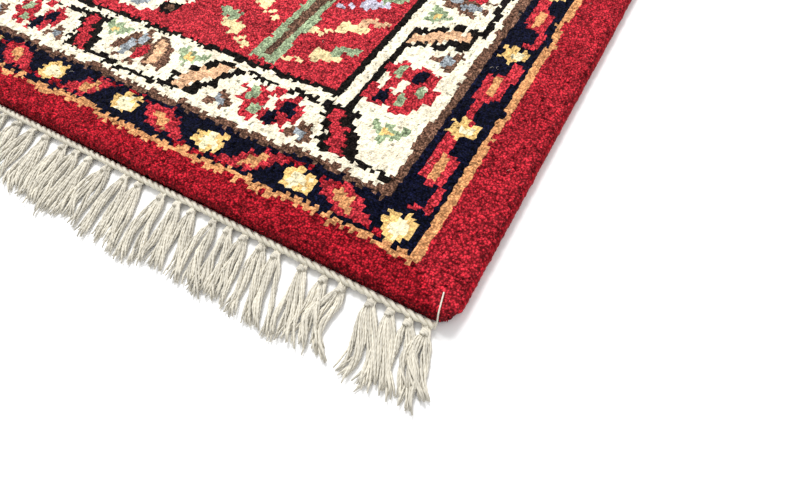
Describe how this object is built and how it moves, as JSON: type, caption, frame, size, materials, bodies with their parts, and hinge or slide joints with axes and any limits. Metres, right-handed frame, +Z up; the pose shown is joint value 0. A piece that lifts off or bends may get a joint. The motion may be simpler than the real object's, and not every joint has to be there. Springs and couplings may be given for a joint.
{
  "type": "knotted pile rug",
  "caption": "Small rectangular knotted wool rug lying flat, with banded floral borders, overcast sides and knotted cotton tassels along both ends.",
  "frame": {"origin": "centre of the rug's underside, on the floor", "axes": "+X across the rug, +Y along its length away from the corner seen in the picture, +Z up from the floor"},
  "size_m": [0.6722, 1.0196, 0.011],
  "materials": {
    "wool_pile": "cut wool pile, matt",
    "wool_selvedge": "overcast wool yarn, matt",
    "cotton_fringe": "twisted cotton thread, matt"
  },
  "bodies": {
    "root": {"rug_body": "wool_pile", "selvedge_left": "wool_selvedge", "selvedge_right": "wool_selvedge", "fringe_near": "cotton_fringe", "fringe_far": "cotton_fringe"}
  },
  "joints": []
}
